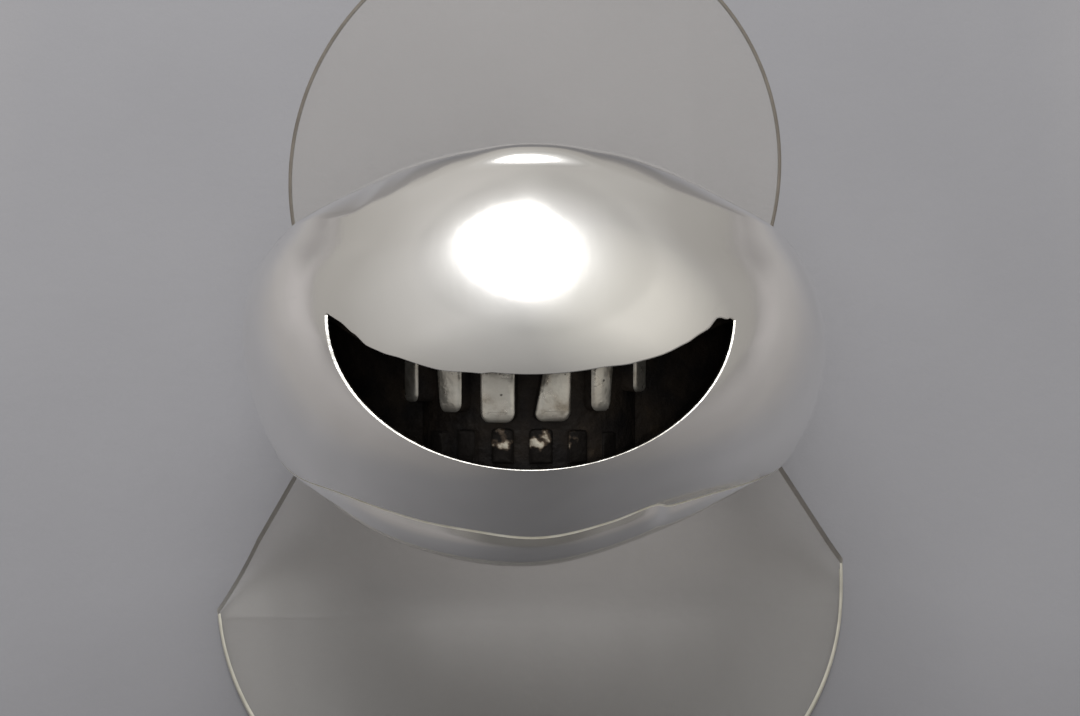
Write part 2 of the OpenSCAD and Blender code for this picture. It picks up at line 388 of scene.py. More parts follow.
def crown_place(angle, t, front_end, back_end):
    """The u of a share of the crown's arc, from -1 at its front end to 1 at its back end."""
    end = back_end if t > 0 else front_end
    start, arc_r = crown_arc(angle, "back" if t > 0 else "front")
    return start + arc_r * sin(asin((end - start) / arc_r) * abs(t))


def crease_u(angle, side):
    """Where the crease runs along the finger hole, with its hand-filed stray."""
    if side == "back":
        return ring_at(angle, CREASE["back"]) + stray(BACK_STRAY, signed(angle))
    return -ring_at(angle, CREASE["front"]) - stray(FRONT_STRAY, signed(angle))


def on_dome(angle, u, wall=0):
    """A point of the dome's skin, or of its inside, in the ring's own axes."""
    return ring_point(angle, u, crown_r(angle, u, wall))


def angle_at(x, u, wall=0):
    """The angle from the dome's middle at which the skin is a sideways distance away."""
    first_guess = 12
    rounds = 30
    w = first_guess
    for _ in range(rounds):
        r = crown_r(degrees(atan2(x, w)), u, wall)
        w = sqrt(max(r * r - x * x, 1))
    return degrees(atan2(x, w))


def rim_outline(angle, side):
    """The crease's fillet, the brim outside it and the rim down to the finger hole, as [u, r]."""
    sign = 1 if side == "back" else -1
    crease = crease_u(angle, side)
    crease_r = crown_r(angle, crease)
    rim = sign * ring_at(angle, RIM[side])
    depth = ring_at(angle, CREASE_R) - FINGER_R
    middle = max(0, cos(radians(angle)))
    beside = 0
    if side == "back":
        rim += stray(BACK_RIM_STRAY, signed(angle))
        beside = stray(BESIDE, abs(signed(angle)))
    overhang = abs(rim - crease)
    fall = tan(radians(BRIM_SLOPE - MIDDLE_FLATTER * middle + BESIDE_STEEPER * beside))
    corner_r = crease_r - overhang * fall
    belly_share = BELLY + (BESIDE_BELLY - BELLY) * beside
    belly = (rim, FINGER_R + belly_share * depth)
    brim = (
        (crease, crease_r),
        (crease + sign * BRIM_HANDLE * overhang, crease_r - BRIM_HANDLE * overhang * fall),
        (rim, corner_r + CORNER_HANDLE * (belly[1] - corner_r)),
        belly,
    )
    lower = (
        belly,
        (rim, FINGER_R + LOWER_HANDLE * depth),
        (rim - sign * EDGE_ROUND, FINGER_R + EDGE_ROUND),
        (rim - sign * EDGE_INSET, FINGER_R),
    )
    fillet = FILLET[side] * (FILLET_SIDES + (1 - FILLET_SIDES) * middle)
    begin_u = crease - sign * fillet
    begin = (begin_u, crown_r(angle, begin_u))
    end_t = min(fillet / max(3 * BRIM_HANDLE * overhang, LEAST_BRIM), FILLET_MOST)
    end = curve_point(brim, end_t)
    points = [begin]
    for i in range(1, FILLET_CELLS):
        points.append(bow_point(begin, brim[0], end, i / FILLET_CELLS))
    for i in range(BRIM_CELLS + 1):
        points.append(curve_point(brim, end_t + (1 - end_t) * i / BRIM_CELLS))
    for i in range(1, LOWER_RIM_CELLS + 1):
        points.append(curve_point(lower, i / LOWER_RIM_CELLS))
    return points


def section(angle):
    """The ring's whole closed section: the crown, the back rim, the finger hole, the front rim."""
    back = rim_outline(angle, "back")
    front = rim_outline(angle, "front")
    points = []
    for i in range(CROWN_CELLS + 1):
        u = crown_place(angle, 2 * i / CROWN_CELLS - 1, front[0][0], back[0][0])
        points.append((u, crown_r(angle, u)))
    points += back[1:]
    for i in range(1, BORE_CELLS):
        t = i / BORE_CELLS
        points.append((back[-1][0] + (front[-1][0] - back[-1][0]) * t, FINGER_R))
    points += front[:0:-1]
    return points


def mouth_corner():
    """Where the two lips would meet at the right, as [x, u], found by halving."""
    halvings = 40
    low, high = MOUTH_HALF_W / 2, MOUTH_HALF_W
    for _ in range(halvings):
        x = (low + high) / 2
        upper = UPPER_LIP_U - sqrt(UPPER_LIP_R ** 2 - x * x)
        top = MOUTH_U + MOUTH_HALF_H * sqrt(1 - (x / MOUTH_HALF_W) ** 2)
        if upper < top:
            low = x
        else:
            high = x
    return x, upper


def crowded(share):
    """A share of a lip's length, drawn a little towards its nearer end."""
    return 0.5 * share + 0.25 * (1 - cos(pi * share))


def mouth_outline():
    """The mouth's outline, clockwise from the left corner along the upper lip, as [x, u]."""
    half = PATCH_COLUMNS + CROWN_CELLS
    corner_x, corner_u = mouth_corner()
    reach = asin(corner_x / UPPER_LIP_R)
    right = asin((corner_u - MOUTH_BLUNT - MOUTH_U) / MOUTH_HALF_H)
    left = asin((corner_u - MOUTH_U) / MOUTH_HALF_H)
    points = []
    for i in range(half):
        a = reach * (2 * crowded(i / half) - 1)
        x = UPPER_LIP_R * sin(a)
        points.append((x, UPPER_LIP_U - UPPER_LIP_R * cos(a) - stray(LIP_STRAY, x + MOUTH_SIDE)))
    for i in range(half):
        a = right - (pi + right + left) * crowded(i / half)
        points.append((MOUTH_HALF_W * cos(a), MOUTH_U + MOUTH_HALF_H * sin(a)))
    return [(x + MOUTH_SIDE, u) for x, u in points]


def outward_ways(points):
    """For each point of a closed outline, the way square to it and out of it, longer at a corner."""
    ways = []
    count = len(points)
    for i in range(count):
        before = Vector(points[i]) - Vector(points[i - 1])
        after = Vector(points[(i + 1) % count]) - Vector(points[i])
        before.normalize()
        after.normalize()
        along = (before + after).normalized()
        way = Vector((-along.y, along.x))
        square = Vector((-before.y, before.x))
        ways.append(way / max(way.dot(square), CORNER_LEAST))
    return ways


def lip_width(x, upper):
    """The width of the lip's bevel: broad at the left corner, narrow along the upper lip."""
    if upper:
        return UPPER_BEVEL + UPPER_BEVEL_MORE * max(0, x) / BEVEL_SIDE
    more = LOWER_BEVEL_LEFT_MORE if x < 0 else LOWER_BEVEL_RIGHT_MORE
    return LOWER_BEVEL + more * min(abs(x) / BEVEL_SIDE, 1) ** 2


def patch_edge(reach, front_end, back_end):
    """A dome patch's border, clockwise from the middle of its left side, as [angle, u].

    Its two ends are functions of the angle.
    """
    rows = CROWN_CELLS // 2
    points = []
    for i in range(rows):
        points.append((-reach, i / rows))
    for i in range(PATCH_COLUMNS):
        points.append((reach * (2 * i / PATCH_COLUMNS - 1), 1))
    for i in range(CROWN_CELLS):
        points.append((reach, 1 - i / rows))
    for i in range(PATCH_COLUMNS):
        points.append((reach * (1 - 2 * i / PATCH_COLUMNS), -1))
    for i in range(rows):
        points.append((-reach, i / rows - 1))
    return [(a, crown_place(a, t, front_end(a), back_end(a))) for a, t in points]


def select_only(piece):
    """Leaves one object selected and active."""
    if bpy.context.mode != "OBJECT":
        bpy.ops.object.mode_set(mode="OBJECT")
    bpy.ops.object.select_all(action="DESELECT")
    piece.select_set(True)
    bpy.context.view_layer.objects.active = piece


def edit(piece):
    """Opens a piece in edit mode and gives its mesh."""
    select_only(piece)
    bpy.ops.object.mode_set(mode="EDIT")
    return bmesh.from_edit_mesh(piece.data)


def select_parts(piece, kind, wanted):
    """Opens a piece and selects those of its edges or faces that are wanted."""
    mesh = edit(piece)
    bpy.ops.mesh.select_mode(type=kind)
    bpy.ops.mesh.select_all(action="DESELECT")
    for part in mesh.edges if kind == "EDGE" else mesh.faces:
        part.select_set(wanted(part))
    bmesh.update_edit_mesh(piece.data)


def select_line(piece, wanted):
    """Selects the edges whose two ends both lie where wanted."""
    select_parts(piece, "EDGE", lambda edge: all(wanted(v.co) for v in edge.verts))


def start_piece(name):
    """Names the primitive just added."""
    piece = bpy.context.active_object
    piece.name = name
    piece.data.name = name
    return piece


def apply_place(piece):
    """Moves a piece's place, turn and size into its mesh."""
    select_only(piece)
    bpy.ops.object.transform_apply(location=True, rotation=True, scale=True)


def lean_back(piece):
    """Puts a piece made in the ring's own axes where the stand holds it."""
    piece.rotation_euler = (radians(LEAN), 0, 0)
    piece.location = Vector(RING_MIDDLE) * MM
    apply_place(piece)


def apply_modifiers(piece):
    """Makes a piece's modifiers part of its mesh."""
    select_only(piece)
    for modifier in list(piece.modifiers):
        bpy.ops.object.modifier_apply(modifier=modifier.name)


def cut_with(piece, cutter, operation):
    """Joins, cuts or crops a piece with another, which is then thrown away."""
    trim = piece.modifiers.new("trim", "BOOLEAN")
    trim.operation = operation
    trim.object = cutter
    trim.solver = "EXACT"
    apply_modifiers(piece)
    bpy.data.objects.remove(cutter)


def number_places(places):
    """Finds a place's number in a list from the place alone."""
    tree = KDTree(len(places))
    for i, place in enumerate(places):
        tree.insert(place, i)
    tree.balance()
    return tree


def grow_loop(piece, old, new, finish=0):
    """Extrudes the open border and sets each new vertex from its old place to its new one."""
    bpy.ops.mesh.extrude_edges_move()
    shell = bmesh.from_edit_mesh(piece.data)
    numbers = number_places(old)
    for vert in shell.verts:
        if vert.select:
            vert.co = new[numbers.find(vert.co)[1]]
            for face in vert.link_faces:
                face.material_index = finish
    bmesh.update_edit_mesh(piece.data)
    return new


def grow_toward(piece, old, end, steps):
    """Grows blackened loops straight towards a last one, at the given shares of the way."""
    start = old
    for t in steps:
        old = grow_loop(piece, old, [a.lerp(b, t) for a, b in zip(start, end)], BLACKENED)
    return old


def spin_skin(profile):
    """The ring's skin, spun even all round from one closed section."""
    bpy.ops.mesh.primitive_circle_add(vertices=len(profile), radius=FINGER_R * MM)
    piece = start_piece("silver_shell")
    for vert, (u, r) in zip(piece.data.vertices, profile):
        vert.co = (0, u * MM, -r * MM)
    edit(piece)
    bpy.ops.mesh.select_all(action="SELECT")
    bpy.ops.mesh.spin(steps=TURNS, angle=2 * pi, center=(0, 0, 0), axis=(0, 1, 0))
    bpy.ops.mesh.select_all(action="SELECT")
    bpy.ops.mesh.remove_doubles(threshold=SPUN_WELD * MM)
    bpy.ops.object.mode_set(mode="OBJECT")
    return piece


def fit_sections(piece, profile):
    """Fits each turn of the even skin to the ring's section there.

    Gives each vertex's turn and its number along the section.
    """
    numbers = number_places([(u, r, 0) for u, r in profile])
    sections = {}
    places = []
    for vert in piece.data.vertices:
        x, u, w = (c / MM for c in vert.co)
        turn = round(degrees(atan2(x, w)) * TURNS / 360) % TURNS
        k = numbers.find((u, hypot(x, w), 0))[1]
        angle = turn * 360 / TURNS
        if turn not in sections:
            sections[turn] = section(angle)
        u, r = sections[turn][k]
        vert.co = ring_point(angle, u, r)
        places.append((turn, k))
    return places


def open_patch(piece, places, first_fillet):
    """Opens the skin round the mouth and leaves the opening's border selected.

    The fillet in the front crease gets its own finish.
    """
    last_turn = round(PATCH_REACH * TURNS / 360)
    in_patch = []
    for face in piece.data.polygons:
        ks = [places[v][1] for v in face.vertices]
        turns = [(places[v][0] + TURNS // 2) % TURNS - TURNS // 2 for v in face.vertices]
        if all(k >= first_fillet or k == 0 for k in ks):
            face.material_index = FILED
        crown = all(k <= CROWN_CELLS for k in ks)
        in_patch.append(crown and max(turns) - min(turns) < 3 and max(map(abs, turns)) <= last_turn)
    shell = edit(piece)
    bpy.ops.mesh.select_all(action="DESELECT")
    bpy.ops.mesh.select_mode(type="FACE")
    for face, inside in zip(shell.faces, in_patch):
        face.select_set(inside)
    bmesh.update_edit_mesh(piece.data)
    bpy.ops.mesh.delete(type="FACE")
    bpy.ops.mesh.select_mode(type="EDGE")
    bpy.ops.mesh.select_non_manifold(extend=False, use_wire=False, use_multi_face=False,
                                     use_non_contiguous=False, use_verts=False)


def close_on_mouth(piece, lips, ways, bevels):
    """Brings the dome's skin in to the lip's bevel, loop by loop, and gives the last loop."""
    border = patch_edge(PATCH_REACH, lambda a: rim_outline(a, "front")[0][0],
                        lambda a: rim_outline(a, "back")[0][0])
    near = range(-LIP_NEIGHBOURS, LIP_NEIGHBOURS + 1)
    outer = []
    handles = []
    for i, ((x, u), way, width) in enumerate(zip(lips, ways, bevels)):
        place = Vector((x, u)) + way * width
        outer.append((angle_at(place.x, place.y), place.y))
        near_ways = (ways[(i + k) % len(ways)].normalized() for k in near)
        place += sum(near_ways, Vector((0, 0))).normalized() * LIP_APPROACH
        handles.append((angle_at(place.x, place.y), place.y))
    old = [on_dome(a, u) for a, u in border]
    for j in range(1, PATCH_LOOPS + 1):
        t = 1 - (1 - j / PATCH_LOOPS) ** LOOP_CROWDING
        new = [on_dome(*bow_point(start, handle, end, t))
               for start, handle, end in zip(border, handles, outer)]
        old = grow_loop(piece, old, new)
    return old


def cut_lip(piece, old, lips, ways, bevels):
    """The lip's narrow bevel, then the wall of the cut down to the inside of the dome."""
    for share in BEVEL_BENDS:
        new = []
        for (x, u), way, width in zip(lips, ways, bevels):
            place = Vector((x, u)) + way * width * share
            point = on_dome(angle_at(place.x, place.y), place.y)
            sink = width * (1 - share) * BEVEL_STEEPNESS
            new.append(point - Vector((0, 0, sink * MM)))
        old = grow_loop(piece, old, new, LIP)
    inside = [on_dome(angle_at(x, u, SHELL_WALL), u, SHELL_WALL) for x, u in lips]
    return grow_toward(piece, old, inside, CUT_STEPS)


def close_hollow(piece, old, lips):
    """The blackened hollow: under the shell, down to the sleeve and across it."""
    inner = [(angle_at(x, u, SHELL_WALL), u) for x, u in lips]
    outer = patch_edge(HOLLOW_REACH, lambda a: SIDE_WALL - ring_at(a, CREASE["front"]),
                       lambda a: ring_at(a, CREASE["back"]) - SIDE_WALL)
    for j in range(1, ROOF_LOOPS + 1):
        t = j / ROOF_LOOPS
        new = [on_dome(a + (b - a) * t, u + (v - u) * t, SHELL_WALL)
               for (a, u), (b, v) in zip(inner, outer)]
        old = grow_loop(piece, old, new, BLACKENED)
    sleeve = [ring_point(a, u, SLEEVE_R) for a, u in outer]
    old = grow_toward(piece, old, sleeve, SIDE_STEPS)
    for t in FLOOR_STEPS:
        new = [ring_point(a * (1 - t), u * (1 - t), SLEEVE_R) for a, u in outer]
        old = grow_loop(piece, old, new, BLACKENED)
    bpy.ops.mesh.edge_face_add()
    shell = bmesh.from_edit_mesh(piece.data)
    for face in shell.faces:
        if len(face.verts) > 4:
            face.material_index = BLACKENED
    bmesh.update_edit_mesh(piece.data)


def make_shell():
    """The ring's polished skin, its mouth with its lips, and the hollow behind them."""
    profile = section(180)
    piece = spin_skin(profile)
    open_patch(piece, fit_sections(piece, profile), len(profile) - FILLET_CELLS)
    lips = mouth_outline()
    ways = outward_ways(lips)
    bevels = [lip_width(x, i < len(lips) // 2) for i, (x, u) in enumerate(lips)]
    old = close_on_mouth(piece, lips, ways, bevels)
    old = cut_lip(piece, old, lips, ways, bevels)
    close_hollow(piece, old, lips)
    bpy.ops.mesh.select_all(action="SELECT")
    bpy.ops.mesh.remove_doubles(threshold=WELD * MM)
    bpy.ops.mesh.normals_make_consistent(inside=False)
    bpy.ops.object.mode_set(mode="OBJECT")
    lean_back(piece)
    bpy.ops.object.shade_smooth_by_angle(angle=radians(32))
    return piece


def make_ridge():
    """The curved ridge behind the mouth, which carries the teeth."""
    bpy.ops.mesh.primitive_cylinder_add(
        vertices=96, radius=RIDGE_R * MM, depth=2 * RIDGE_HALF * MM,
        location=(RIDGE_SIDE * MM, 0, RIDGE_W * MM), rotation=(pi / 2, 0, 0))
    piece = start_piece("tooth_ridge")
    apply_place(piece)
    edit(piece)
    bpy.ops.mesh.select_all(action="SELECT")
    bpy.ops.mesh.bisect(plane_co=(0, 0, RIDGE_FOOT_W * MM), plane_no=(0, 0, 1), use_fill=True,
                        clear_inner=True, threshold=CUT_SLACK * MM)
    bpy.ops.object.mode_set(mode="OBJECT")
    rounding = piece.modifiers.new("rounding", "BEVEL")
    rounding.width = RIDGE_ROUND * MM
    rounding.segments = 3
    rounding.limit_method = "ANGLE"
    rounding.angle_limit = radians(60)
    apply_modifiers(piece)
    lean_back(piece)
    bpy.ops.object.shade_smooth_by_angle(angle=radians(35))
    return piece


def make_tooth_blank(finishes):
    """A tooth of the middle size, lying along the finger hole: rounded corners and a full face."""
    deep = TOOTH_ROOT_DEPTH + UPPER_RELIEF
    bpy.ops.mesh.primitive_cube_add(size=1)
    piece = start_piece("tooth_blank")
    piece.scale = (BLANK_W * MM, BLANK_TALL * MM, deep * MM)
    apply_place(piece)

    def is_bite_corner(edge):
        a, b = (v.co for v in edge.verts)
        return abs(a.z - b.z) > deep / 2 * MM and a.y < 0

    select_parts(piece, "EDGE", is_bite_corner)
    bpy.ops.mesh.bevel(offset=TOOTH_ROUND * MM, segments=6, affect="EDGES")
    select_parts(piece, "FACE", lambda face: face.normal.z > 0.9)
    for inset, rise in BLANK_FACE:
        bpy.ops.mesh.inset(thickness=inset * MM, depth=0)
        bpy.ops.transform.translate(value=(0, 0, rise * MM))
    bpy.ops.object.mode_set(mode="OBJECT")
    top = max(v.co.z for v in piece.data.vertices)
    for vert in piece.data.vertices:
        if vert.co.z > 0:
            vert.co.z += deep / 2 * MM - top
    for finish in finishes:
        piece.data.materials.append(finish)
    for face in piece.data.polygons:
        face.material_index = 0 if face.normal.z > 0.3 else 2
    return piece


def place_tooth(blank, name, row, relief, shift, filed=(0, 0)):
    """A copy of the blank, drawn out to its own size, filed narrower and set round the ridge."""
    turn, width, bite, root = row
    piece = blank.copy()
    piece.data = blank.data.copy()
    piece.name = name
    piece.data.name = name
    bpy.context.collection.objects.link(piece)
    tall = abs(root - bite)
    flip = 1 if root > bite else -1
    deep = TOOTH_ROOT_DEPTH + relief
    for vert in piece.data.vertices:
        bite_share = 0.5 - vert.co.y / (BLANK_TALL * MM)
        outside = vert.co.x * turn > 0
        narrow = filed[0] * bite_share ** 2 if outside else filed[1] * (1 - bite_share)
        vert.co.x *= (width - TOOTH_TRIM) / BLANK_W * (1 - narrow)
        vert.co.y = (bite + root) / 2 * MM + flip * vert.co.y * tall / BLANK_TALL
        vert.co.z = vert.co.z * deep / (TOOTH_ROOT_DEPTH + UPPER_RELIEF)
        vert.co.z += (RIDGE_R - TOOTH_ROOT_DEPTH + deep / 2) * MM
    if flip < 0:
        for face in piece.data.polygons:
            face.material_index = 1 if face.material_index == 0 else 2
        edit(piece)
        bpy.ops.mesh.select_all(action="SELECT")
        bpy.ops.mesh.normals_make_consistent(inside=False)
        bpy.ops.object.mode_set(mode="OBJECT")
    piece.rotation_euler = (0, radians(turn), 0)
    piece.location = ((RIDGE_SIDE + shift) * MM, 0, RIDGE_W * MM)
    apply_place(piece)
    return piece


def make_teeth(finishes):
    """Both rows of teeth, as one piece.

    The finishes are the upper faces', the lower faces' and the sides'.
    """
    blank = make_tooth_blank(finishes)
    teeth = [place_tooth(blank, "upper_tooth_%d" % i, row, UPPER_RELIEF, shift, filed)
             for i, (row, (shift, *filed)) in enumerate(zip(UPPER_TEETH, UPPER_FINISH))]
    teeth += [place_tooth(blank, "lower_tooth_%d" % i, row, LOWER_RELIEF, LOWER_SHIFT)
              for i, row in enumerate(LOWER_TEETH)]
    bpy.data.objects.remove(blank)
    bpy.ops.object.select_all(action="DESELECT")
    for tooth in teeth:
        tooth.select_set(True)
    bpy.context.view_layer.objects.active = teeth[0]
    bpy.ops.object.join()
    piece = start_piece("teeth")
    lean_back(piece)
    bpy.ops.object.shade_smooth_by_angle(angle=radians(50))
    return piece


def taper_x(x, u):
    """The taper's side, left or right as x is, at a place along the finger hole."""
    side_x, side_u, slope = TAPER_LEFT if x < 0 else TAPER_RIGHT
    return side_x + slope * (side_u - u)


def make_bent_sheet():
    """The clear sheet, flat, bent and leaning, before its outline is cut."""
    front = FOOT_Y - FOOT_R - BLANK_MARGIN
    bpy.ops.mesh.primitive_plane_add(size=1)
    piece = start_piece("clear_sheet")
    piece.scale = (BLANK_SHEET_W * MM, (BEND_START_Y - front) * MM, 1)
    piece.location = (0, (BEND_START_Y + front) / 2 * MM, SHEET_T / 2 * MM)
    apply_place(piece)
    select_line(piece, lambda p: p.y > (BEND_START_Y - 0.01) * MM)
    bpy.ops.mesh.spin(steps=BEND_CELLS, angle=radians(-LEAN), axis=(1, 0, 0),
                      center=(0, BEND_START_Y * MM, (SHEET_T / 2 + BEND_R) * MM))
    length = TONGUE_REACH + TONGUE_L - BEND_END_U
    bpy.ops.mesh.extrude_region_move(TRANSFORM_OT_translate={"value": HOLE_WAY * length * MM})
    bpy.ops.object.mode_set(mode="OBJECT")
    thick = piece.modifiers.new("sheet", "SOLIDIFY")
    thick.thickness = SHEET_T * MM
    thick.offset = 0
    apply_modifiers(piece)
    return piece


def thicken_outline(piece, low, high):
    """Turns a flat outline into a block between two heights."""
    edit(piece)
    bpy.ops.mesh.select_all(action="SELECT")
    bpy.ops.transform.translate(value=(0, 0, low * MM))
    bpy.ops.mesh.extrude_region_move(TRANSFORM_OT_translate={"value": (0, 0, (high - low) * MM)})
    bpy.ops.mesh.select_all(action="SELECT")
    bpy.ops.mesh.normals_make_consistent(inside=False)
    bpy.ops.object.mode_set(mode="OBJECT")


def thicken_waist(piece):
    """Turns an outline of the leaning part into a block round the sheet."""
    thicken_outline(piece, -SHEET_DROP - SHEET_T, -SHEET_DROP + SHEET_T)


def foot_corner(side, y):
    """A corner of the foot, -1 at the left and 1 at the right, in metres."""
    return Vector((FOOT_SIDE + side * sqrt(FOOT_R ** 2 - (y - FOOT_Y) ** 2), y, 0)) * MM


def make_foot_outline():
    """The outline from above: the round foot up to its two corners, and on along the tapers."""
    corner = foot_corner(-1, CORNER_LEFT_Y)
    across = foot_corner(1, CORNER_RIGHT_Y) - corner
    line = Vector((-across.y, across.x, 0)).normalized()
    bpy.ops.mesh.primitive_circle_add(vertices=ROUND_CELLS, radius=FOOT_R * MM, fill_type="NGON",
                                      location=(FOOT_SIDE * MM, FOOT_Y * MM, 0))
    piece = start_piece("foot_outline")
    apply_place(piece)
    edit(piece)
    bpy.ops.mesh.select_all(action="SELECT")
    bpy.ops.mesh.bisect(plane_co=corner, plane_no=line, clear_outer=True, threshold=CUT_SLACK * MM)
    select_line(piece, lambda p: abs((p - corner).dot(line)) < 0.001 * MM)
    for past in FOOT_STEPS:
        bpy.ops.mesh.extrude_region_move()
        foot = bmesh.from_edit_mesh(piece.data)
        for vert in foot.verts:
            if vert.select:
                y = BEND_START_Y + BEND_R * sin(radians(LEAN)) + past * cos(radians(LEAN))
                vert.co = Vector((taper_x(vert.co.x, BEND_END_U + past), y, 0)) * MM
        bmesh.update_edit_mesh(piece.data)
    thicken_outline(piece, *FOOT_BLOCK)
    return piece


def make_waist_outline():
    """The outline square to the leaning sheet: the tapers, the waist and the tongue's round end."""
    bpy.ops.mesh.primitive_plane_add(size=2 * MM)
    piece = start_piece("waist_outline")
    for vert in piece.data.vertices:
        u = BEND_END_U + WAIST_START if vert.co.y < 0 else -SHOULDER_U
        vert.co = Vector((taper_x(vert.co.x, u), u, 0)) * MM
    thicken_waist(piece)

    bpy.ops.mesh.primitive_plane_add(size=2)
    waist = start_piece("waist_strip")
    waist.scale = (WAIST_HALF * MM, (SHOULDER_U + 1) * MM, 1)
    apply_place(waist)
    thicken_waist(waist)
    cut_with(piece, waist, "UNION")

    bpy.ops.mesh.primitive_circle_add(vertices=ROUND_CELLS, radius=1, fill_type="NGON")
    tongue = start_piece("tongue_outline")
    tongue.scale = (TONGUE_W / 2 * MM, TONGUE_L / 2 * MM, 1)
    tongue.rotation_euler = (0, 0, radians(TONGUE_TURN))
    tongue.location = (TONGUE_SIDE * MM, TONGUE_REACH * MM, 0)
    apply_place(tongue)
    edit(tongue)
    bpy.ops.mesh.select_all(action="SELECT")
    bpy.ops.mesh.bisect(plane_co=(0, SHOULDER_U * MM, 0), plane_no=(0, 1, 0), clear_inner=True,
                        threshold=CUT_SLACK * MM)
    thicken_waist(tongue)
    cut_with(piece, tongue, "UNION")
    piece.rotation_euler = (radians(LEAN), 0, 0)
    piece.location = (0, 0, RING_MIDDLE[2] * MM)
    apply_place(piece)
    return piece


def is_sheet_face(face):
    """Whether a face is one of the sheet's two broad sides: flat, bending or leaning."""
    if abs(face.normal.x) > 0.05:
        return False
    past_start = face.center.y / MM - RING_MIDDLE[1] - BEND_START_Y
    lift = min(max(past_start, 0) / BEND_R, sin(radians(LEAN)))
    along = Vector((0, -lift, sqrt(1 - lift * lift)))
    return abs(face.normal.dot(along)) > 0.96


def is_broken_edge(edge):
    """Whether an edge of the sheet is broken: a sharp one, not on the bend or the tapers."""
    middle = (edge.verts[0].co + edge.verts[1].co) / 2 / MM
    kept_sharp = middle.y - CORNER_LINE_RISE * middle.x > CORNER_LINE_Y and middle.y < SHARP_TO_Y
    return edge.calc_face_angle(0) > radians(50) and not kept_sharp


def make_sheet():
    """The clear stand: one bent sheet, cut to its outline, with its edges just broken."""
    piece = make_bent_sheet()
    outline = make_foot_outline()
    cut_with(outline, make_waist_outline(), "UNION")
    cut_with(piece, outline, "INTERSECT")
    piece.location = (0, RING_MIDDLE[1] * MM, 0)
    apply_place(piece)
    select_parts(piece, "EDGE", is_broken_edge)
    bpy.ops.mesh.bevel(offset=EDGE_BREAK * MM, segments=3, affect="EDGES", clamp_overlap=False)
    bpy.ops.object.mode_set(mode="OBJECT")
    for face in piece.data.polygons:
        if not is_sheet_face(face):
            face.material_index = 1
    select_only(piece)
    bpy.ops.object.shade_smooth_by_angle(angle=radians(20))
    return piece


def new_finish(name, metallic=0):
    """A material, its nodes and links, and its shader."""
    material = bpy.data.materials.new(name)
    material.use_nodes = True
    tree = material.node_tree
    tree.nodes.clear()
    output = tree.nodes.new("ShaderNodeOutputMaterial")
    shader = tree.nodes.new("ShaderNodeBsdfPrincipled")
    shader.inputs["Metallic"].default_value = metallic
    tree.links.new(shader.outputs["BSDF"], output.inputs["Surface"])
    return material, tree, shader


def own_place(tree):
    """The piece's own coordinates."""
    return tree.nodes.new("ShaderNodeTexCoord").outputs["Object"]


def own_axis(tree, axis):
    """One of the piece's own coordinates."""
    split = tree.nodes.new("ShaderNodeSeparateXYZ")
    tree.links.new(own_place(tree), split.inputs["Vector"])
    return split.outputs[axis]


def plug(tree, value, socket):
    """Links a pattern to a socket, or sets a number there."""
    if isinstance(value, bpy.types.NodeSocket):
        tree.links.new(value, socket)
    else:
        socket.default_value = value


def sums(tree, operation, *values):
    """A sum worked out from patterns and numbers."""
    node = tree.nodes.new("ShaderNodeMath")
    node.operation = operation
    for value, socket in zip(values, node.inputs):
        plug(tree, value, socket)
    return node.outputs["Value"]


def along_way(tree, place, way):
    """How far a place lies along a way."""
    node = tree.nodes.new("ShaderNodeVectorMath")
    node.operation = "DOT_PRODUCT"
    tree.links.new(place, node.inputs[0])
    node.inputs[1].default_value = way
    return node.outputs["Value"]


def between(tree, value, start, end, low=0, high=1):
    """A pattern that goes evenly from low to high as another goes from start to end."""
    node = tree.nodes.new("ShaderNodeMapRange")
    settings = {"From Min": start, "From Max": end, "To Min": low, "To Max": high}
    for name, number in settings.items():
        node.inputs[name].default_value = number
    tree.links.new(value, node.inputs["Value"])
    return node.outputs["Result"]


def grain(tree, scale, detail=3, stretch=(1, 1, 1)):
    """A noise pattern on the piece's own coordinates. The scale is in waves per metre."""
    mapping = tree.nodes.new("ShaderNodeMapping")
    mapping.inputs["Scale"].default_value = stretch
    noise = tree.nodes.new("ShaderNodeTexNoise")
    noise.inputs["Scale"].default_value = scale
    noise.inputs["Detail"].default_value = detail
    tree.links.new(own_place(tree), mapping.inputs["Vector"])
    tree.links.new(mapping.outputs["Vector"], noise.inputs["Vector"])
    return noise.outputs["Fac"]


def ramp(tree, source, stops):
    """Colours or shares along a pattern, as [place, colour]."""
    scale = tree.nodes.new("ShaderNodeValToRGB")
    bar = scale.color_ramp
    while len(bar.elements) < len(stops):
        bar.elements.new(0.5)
    for element, (place, colour) in zip(bar.elements, stops):
        element.position = place
        element.color = (*colour, 1)
    tree.links.new(source, scale.inputs["Fac"])
    return scale.outputs["Color"]


def colour_by(tree, shader, source, stops):
    """Colours a finish along a pattern."""
    tree.links.new(ramp(tree, source, stops), shader.inputs["Base Color"])


def roughen_by(tree, shader, source, stops):
    """Roughens a finish along a pattern, as [place, roughness]."""
    greys = [[place, grey(roughness)] for place, roughness in stops]
    tree.links.new(ramp(tree, source, greys), shader.inputs["Roughness"])


def bump(tree, shader, source, strength, under=None):
    """Relief from a pattern, on top of another relief."""
    relief = tree.nodes.new("ShaderNodeBump")
    relief.inputs["Strength"].default_value = strength
    relief.inputs["Distance"].default_value = MM
    tree.links.new(source, relief.inputs["Height"])
    if under:
        tree.links.new(under, relief.inputs["Normal"])
    tree.links.new(relief.outputs["Normal"], shader.inputs["Normal"])
    return relief.outputs["Normal"]


def blend(tree, under, over, way):
    """One colour pattern laid over another."""
    mix = tree.nodes.new("ShaderNodeMix")
    mix.data_type = "RGBA"
    mix.blend_type = way
    mix.inputs["Factor"].default_value = 1
    tree.links.new(under, mix.inputs[6])
    tree.links.new(over, mix.inputs[7])
    return mix.outputs[2]


